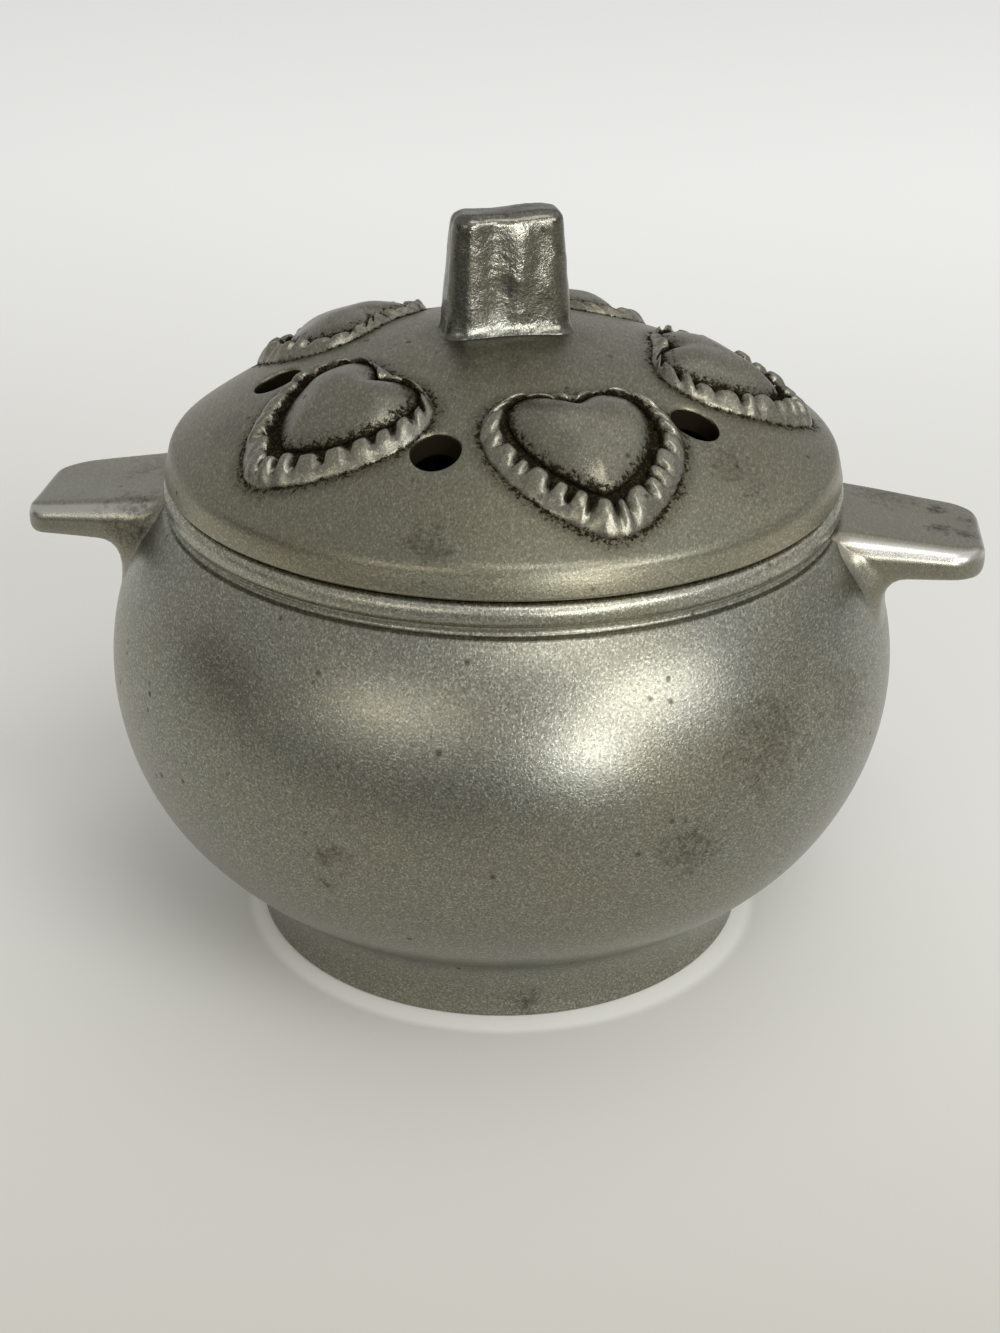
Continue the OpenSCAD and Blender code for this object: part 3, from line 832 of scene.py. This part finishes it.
def lid_knob():
    """Tapered post with soft corners, a hollow and a ridge down its faces and a slightly wavy top."""
    per_side = (14, 7, 14, 7)
    count = len(rounded_box(2, 1, (0.5, 0.5), per_side))
    # Height above the dome, and how far the section is wider than the taper there
    base = [(-0.8, 0.5), (-0.1, 0.42), (0.1, 0.31), (0.3, 0.2), (0.6, 0.1), (1.0, 0.03), (1.5, 0.0)]
    shaft = [(h, 0.0) for h in np.linspace(2.2, KNOB_H - KNOB_ROUND, 18)]
    top = [(KNOB_H - KNOB_ROUND * (1 - math.sin(a)), -KNOB_ROUND * (1 - math.cos(a)))
           for a in np.radians(np.linspace(12, 90, 8))]
    levels = base + shaft + top
    cap = [0.8, 0.55, 0.3, 0.0]
    rows = len(levels) + len(cap) - 1
    turn = Matrix.Rotation(math.radians(KNOB_TURN), 3, "Z")

    def place(k, row):
        height, grow = levels[min(row, len(levels) - 1)]
        share = min(max(height / KNOB_H, 0), 1)
        half_x = mix(KNOB_FOOT[0], KNOB_TOP[0], share) / 2 + grow
        half_y = mix(KNOB_FOOT[1], KNOB_TOP[1], share) / 2 + grow
        corner = half_y * KNOB_CORNER
        point, out = rounded_box(half_x, half_y, (corner, corner), per_side)[k]
        if row >= len(levels):
            point = point * cap[row - len(levels)]
        hollow = KNOB_RELIEF * math.exp(-((point.x + 2.2) / 1.6) ** 2)
        ridge = KNOB_RELIEF * math.exp(-((point.x - 1.2) / 1.3) ** 2)
        on_face = abs(out.y) ** 3 * smooth(0, 3, height) * smooth(KNOB_H, KNOB_H - 3, height)
        inward = (hollow - ridge) * on_face
        wave = KNOB_WAVE * math.tanh((point.x - 0.6) / 1.5) * smooth(KNOB_H * 0.6, KNOB_H, height)
        ground = math.sqrt(DOME_R ** 2 - point.x ** 2 - (point.y + KNOB_BACK) ** 2) - DOME_R
        lift = height + wave + ground * (1 - smooth(0, 5, height))
        spot = Vector((point.x + KNOB_RIGHT, point.y + KNOB_BACK - out.y * inward, DOME_TOP + lift))
        return (turn @ spot,)

    bm = wrap(count, rows, place)
    roughen(bm, depth=0.14, size=3.0, seed=9)
    roughen(bm, depth=0.07, size=0.9, seed=12)
    return bm


def heart_boss(i):
    """Puffed heart with steep sides, dark at its foot with patina and painted shade."""
    columns = 96
    crown_h = HEART_H * 0.93
    fullness = 3.4
    grime_shade_h = 1.6
    foot = [-0.4, 0.0, HEART_EDGE * 0.4]
    crown = [0, 0.02, 0.045, 0.075, 0.11, 0.15, 0.2, 0.26, 0.33, 0.41, 0.5, 0.6, 0.7, 0.8, 0.9, 1]
    rows = len(foot) + len(crown) - 1
    middle = HEART_MIDDLE - HEART_WIDEST

    def place(column, row):
        angle = 2 * math.pi * column / columns
        along, across = heart_outline(angle, 0)
        height, inward = foot[min(row, len(foot) - 1)], 0.0
        if row >= len(foot):
            inward = crown[row - len(foot)]
            edge = HEART_EDGE * mix(0.6, 1.1, (1 - math.cos(angle)) / 2)
            height = mix(edge, crown_h, 1 - (1 - inward) ** fullness)
        along += HEART_LOBE * (math.cos(angle) - math.cos(3 * angle)) * smooth(0, 0.45, inward)
        x, y = heart_plan(i, mix(along, middle, inward), across * (1 - inward))
        # Darker towards the boss's foot: patina and painted shade
        return on_dome(x, y, height), max(1.25 - height / grime_shade_h, 0)

    bm = wrap(columns, rows, place, ("grime_and_shade",))
    roughen(bm, depth=0.12, size=3.5, seed=20 + i)
    return bm


def ruffle_angles(columns):
    """Angles round a heart at even steps along its ruffle."""
    steps = np.linspace(0, 2 * np.pi, 721)
    along, across = heart_outline(steps, RUFFLE_GAP + RUFFLE_W / 2)
    run = np.concatenate([[0], np.cumsum(np.hypot(np.diff(along), np.diff(across)))])
    return np.interp(np.arange(columns) / columns * run[-1], run, steps)


def heart_ruffle(i):
    """Pleated band round a heart: rounded tongues with deep dark folds between them."""
    per_pleat = 14
    columns = PLEATS * per_pleat
    end_round = 0.85
    tuck_in = 0.3
    angles = ruffle_angles(columns)
    draw = random.Random(40 + i)
    folds = [pleat + draw.uniform(-0.28, 0.28) for pleat in range(PLEATS)]
    folds.append(folds[0] + PLEATS)
    tall = [1 + draw.uniform(-0.2, 0.12) for _ in range(PLEATS)]
    deep = [draw.uniform(0.45, 1.0) for _ in range(PLEATS + 1)]
    drawn_in = [draw.uniform(-0.3, 0.35) for _ in range(PLEATS)]
    # Share of the way across, then height of a tongue's crest and of the fold beside it
    profile = [(0.0, -0.25, -0.25), (0.015, 0.25, -0.02), (0.05, 0.60, 0.0), (0.11, 0.85, 0.02),
               (0.18, 0.97, 0.05), (0.26, 1.0, 0.11), (0.36, 0.98, 0.22), (0.47, 0.92, 0.36),
               (0.58, 0.80, 0.47), (0.69, 0.64, 0.46), (0.79, 0.46, 0.36), (0.88, 0.28, 0.23),
               (0.95, 0.12, 0.10), (1.0, -0.12, -0.12), (0.5, -0.35, -0.35)]
    rows = len(profile)

    def place(column, row):
        share, crest, fold = profile[row % len(profile)]
        run = column / per_pleat
        run += PLEATS if run < folds[0] else 0
        pleat = max(k for k in range(PLEATS) if folds[k] <= run)
        u = 2 * (run - folds[pleat]) / (folds[pleat + 1] - folds[pleat]) - 1
        beside = deep[(pleat + 1) % PLEATS] if u > 0 else deep[pleat]
        valley = smooth(0.42, 1.0, abs(u)) * beside
        angle = angles[column]
        tip_side = (1 - math.cos(angle)) / 2
        full = RUFFLE_H * mix(0.6, 0.92, tip_side)
        lift = mix(crest * (1 - 0.3 * u * u), fold, valley)
        height = full * mix(tall[pleat], 1.0, u * u) * lift
        rounded = end_round * (1 - math.sqrt(1 - min(u * u, 1)))
        inner = RUFFLE_GAP - tuck_in + mix(-0.2, 0.0, tip_side)
        inner = inner + drawn_in[pleat] * (1 - u * u) + rounded * beside
        grow = mix(inner, RUFFLE_EDGE + 0.1 * (1 - u * u), share)
        along, across = heart_outline(angle, grow)
        x, y = heart_plan(i, along, across)
        # Patina and painted shade deep in the folds and along the ruffle's foot
        in_fold = 1.4 * smooth(0.5, 0.9, abs(u)) * beside * (1 - smooth(0.1, 0.6, share))
        at_foot = max(1.2 * smooth(0.16, 0.0, share), smooth(0.9, 1.0, share) * 0.9)
        return on_dome(x, y, height), max(in_fold, at_foot, 0.1 * share)

    bm = wrap(columns, rows, place, ("grime_and_shade",))
    roughen(bm, depth=0.1, size=1.2, seed=30 + i)
    return bm


# Pieces

make_piece("belly", pot_belly(), "pot_body", "pot", POT_PEWTER)
make_piece("rim", pot_rim(), "pot_rim", "pot", POT_PEWTER)
make_piece("foot", foot_ring(), "foot_ring", "pot", POT_PEWTER)
make_piece("handle_right", handle(RIGHT_CORNERS), "right_handle", "pot", HANDLE_PEWTER,
           crease=60)
make_piece("handle_left", left_handle(), "left_handle", "pot", HANDLE_PEWTER, crease=60)
make_piece("ring_under_lid", lid_ring(), "lid_flange", "lid_ring", LID_PEWTER)
make_piece("dome", lid_dome(), "lid_dome", "lid", LID_PEWTER)
make_piece("post_knob", lid_knob(), "lid_knob", "lid", KNOB_PEWTER, crease=70)
for i in range(HEARTS):
    make_piece(f"heart_{i + 1}", heart_boss(i), f"heart_boss_{i + 1}", "lid", HEART_PEWTER,
               crease=80)
    make_piece(f"ruffle_{i + 1}", heart_ruffle(i), f"heart_ruffle_{i + 1}", "lid",
               RUFFLE_PEWTER, crease=80)


# Camera, as the photograph was taken, in metres

VIEW_TURN = math.radians(6.0)
VIEW_REACH = 0.2496
VIEW_HEIGHT = 0.1582
VIEW_PITCH = math.radians(26.58)
VIEW_ROLL = math.radians(0.57)
VIEW_YAW = math.radians(0.05)
camera_data = bpy.data.cameras.new("camera")
camera_data.sensor_fit = "VERTICAL"
camera_data.sensor_height = 36
camera_data.lens = 56.15
camera_data.clip_start = 0.01
camera = bpy.data.objects.new("camera", camera_data)
bpy.context.scene.collection.objects.link(camera)
stand = Matrix.Translation((VIEW_REACH * math.sin(VIEW_TURN),
                            -VIEW_REACH * math.cos(VIEW_TURN), VIEW_HEIGHT))
turned = Matrix.Rotation(VIEW_TURN + VIEW_YAW, 4, "Z")
tilted = Matrix.Rotation(math.pi / 2 - VIEW_PITCH, 4, "X")
rolled = Matrix.Rotation(VIEW_ROLL, 4, "Z")
camera.matrix_world = stand @ turned @ tilted @ rolled
bpy.context.scene.camera = camera


# Table and light, in metres

TABLE_SIZE = 40
# Near colour: painted shade on the table towards the camera
TABLE_NEAR_SHADED = (0.49, 0.47, 0.41, 1)
TABLE_MIDDLE = (0.77, 0.765, 0.73, 1)
TABLE_FAR = (0.98, 0.98, 0.963, 1)
TABLE_NEAR_Y = (-0.17, 0.02)
TABLE_FAR_Y = (0.05, 0.45)
# Painted light: a bright ring round the foot, standing in for light that the belly throws onto the table
PAINTED_CAUSTIC = (0.95, 0.945, 0.91, 1)
PAINTED_CAUSTIC_CENTRE = (0.0004, -0.0012, 0)
PAINTED_CAUSTIC_FADE = (0.0358, 0.0342)
ROOM_COLOUR = (0.99, 0.99, 0.98, 1)
ROOM_STRENGTH = 0.57
WARM_LIGHT = (1.0, 0.93, 0.8)
AIM_HEIGHT = 0.05


def pale_table():
    """Dull white, darker towards the camera and lighter close round the foot, as in the photograph."""
    material, tree = new_material("pale_table")
    place = put(tree, "ShaderNodeTexCoord").outputs["Object"]
    turned = put(tree, "ShaderNodeMapping", {"Vector": place, "Rotation": (0, 0, -VIEW_TURN)})
    depth = put(tree, "ShaderNodeSeparateXYZ", {0: turned.outputs[0]}).outputs["Y"]
    # Darker towards the camera: painted shade where the front of the table lies in shade
    colour = blend_colour(tree, ease(tree, depth, *TABLE_NEAR_Y), TABLE_NEAR_SHADED, TABLE_MIDDLE)
    colour = blend_colour(tree, ease(tree, depth, *TABLE_FAR_Y), colour, TABLE_FAR)
    apart = put(tree, "ShaderNodeVectorMath", {0: place, 1: PAINTED_CAUSTIC_CENTRE}, operation="DISTANCE")
    # Lighter ring round the foot: painted light reflected down by the belly
    colour = blend_colour(tree, ease(tree, apart.outputs["Value"], *PAINTED_CAUSTIC_FADE), colour, PAINTED_CAUSTIC)
    shader = put(tree, "ShaderNodeBsdfPrincipled",
                 {"Base Color": colour, "Roughness": 0.7, "Specular IOR Level": 0.0})
    put(tree, "ShaderNodeOutputMaterial", {"Surface": shader.outputs[0]})
    return material


# Grey of the sheets that paint dark reflections
def shade_reflection_material(shade):
    material, tree = new_material("shade_reflection_material")
    shader = put(tree, "ShaderNodeBsdfPrincipled",
                 {"Base Color": (shade, shade, shade, 1), "Roughness": 0.8})
    put(tree, "ShaderNodeOutputMaterial", {"Surface": shader.outputs[0]})
    return material


def facing(turn, rise, distance):
    """Place of something facing the pot, from a turn to the camera's right and a rise, in degrees."""
    a = VIEW_TURN + math.radians(turn)
    e = math.radians(rise)
    out = Vector((math.sin(a) * math.cos(e), -math.cos(a) * math.cos(e), math.sin(e)))
    place = Matrix.Translation(out * distance + Vector((0, 0, AIM_HEIGHT)))
    return place @ out.to_track_quat("Z", "Y").to_matrix().to_4x4()


def sheet(name, width, height, place, material):
    """A flat sheet of the surroundings."""
    bm = bmesh.new()
    bmesh.ops.create_grid(bm, x_segments=1, y_segments=1, size=0.5)
    bmesh.ops.scale(bm, vec=(width, height, 1), verts=bm.verts)
    bmesh.ops.transform(bm, matrix=place, verts=bm.verts)
    mesh = bpy.data.meshes.new(name)
    bm.to_mesh(mesh)
    bm.free()
    mesh.materials.append(material)
    made = bpy.data.objects.new(name, mesh)
    bpy.context.scene.collection.objects.link(made)
    return made


def shade_reflection_sheet(name, width, height, place, shade):
    """A sheet outside the picture, unseen by the camera, by diffuse light and by shadows, which paints a
    dark reflection standing in for shade.
    """
    card = sheet(name, width, height, place, shade_reflection_material(shade))
    card.visible_camera = False
    card.visible_diffuse = False
    card.visible_shadow = False


def window(name, turn, rise, distance, width, height, power, colour=(1, 1, 1)):
    """A broad soft light that faces the pot."""
    data = bpy.data.lights.new(name, "AREA")
    data.shape = "RECTANGLE"
    data.size = width
    data.size_y = height
    data.energy = power
    data.color = colour
    light = bpy.data.objects.new(name, data)
    light.matrix_world = facing(turn, rise, distance)
    bpy.context.scene.collection.objects.link(light)


def room_light():
    """Even light from all round."""
    world = bpy.data.worlds.new("room")
    world.use_nodes = True
    bpy.context.scene.world = world
    tree = world.node_tree
    tree.nodes.clear()
    shade = put(tree, "ShaderNodeBackground", {"Color": ROOM_COLOUR, "Strength": ROOM_STRENGTH})
    put(tree, "ShaderNodeOutputWorld", {"Surface": shade.outputs[0]})


view = Matrix.Rotation(VIEW_TURN, 4, "Z")
sheet("table", TABLE_SIZE, TABLE_SIZE, view, pale_table())
# Reflection-only sheets: painted dark reflections for the shade in front of and to the left of the pot
shade_reflection_sheet("shade_reflection_front", 0.8, 1.9, view @ Matrix.Translation((-0.3, -1.1, 0.001)), shade=0.2)
shade_reflection_sheet("shade_reflection_left", 0.7, 0.45, facing(turn=-84, rise=5, distance=1.4), shade=0.15)
room_light()
window("window_right", turn=43, rise=23, distance=1.2, width=0.62, height=0.34, power=4.2)
window("window_low", turn=24, rise=6, distance=1.2, width=0.2, height=0.24, power=2.9)
window("window_high", turn=24, rise=54, distance=1.2, width=0.6, height=0.45, power=2.7)
window("window_left", turn=-29, rise=19, distance=1.3, width=0.66, height=0.28, power=1.5,
       colour=WARM_LIGHT)
window("ceiling", turn=95, rise=58, distance=1.7, width=2.2, height=2.2, power=6.5)
bpy.context.scene.view_settings.view_transform = "Standard"
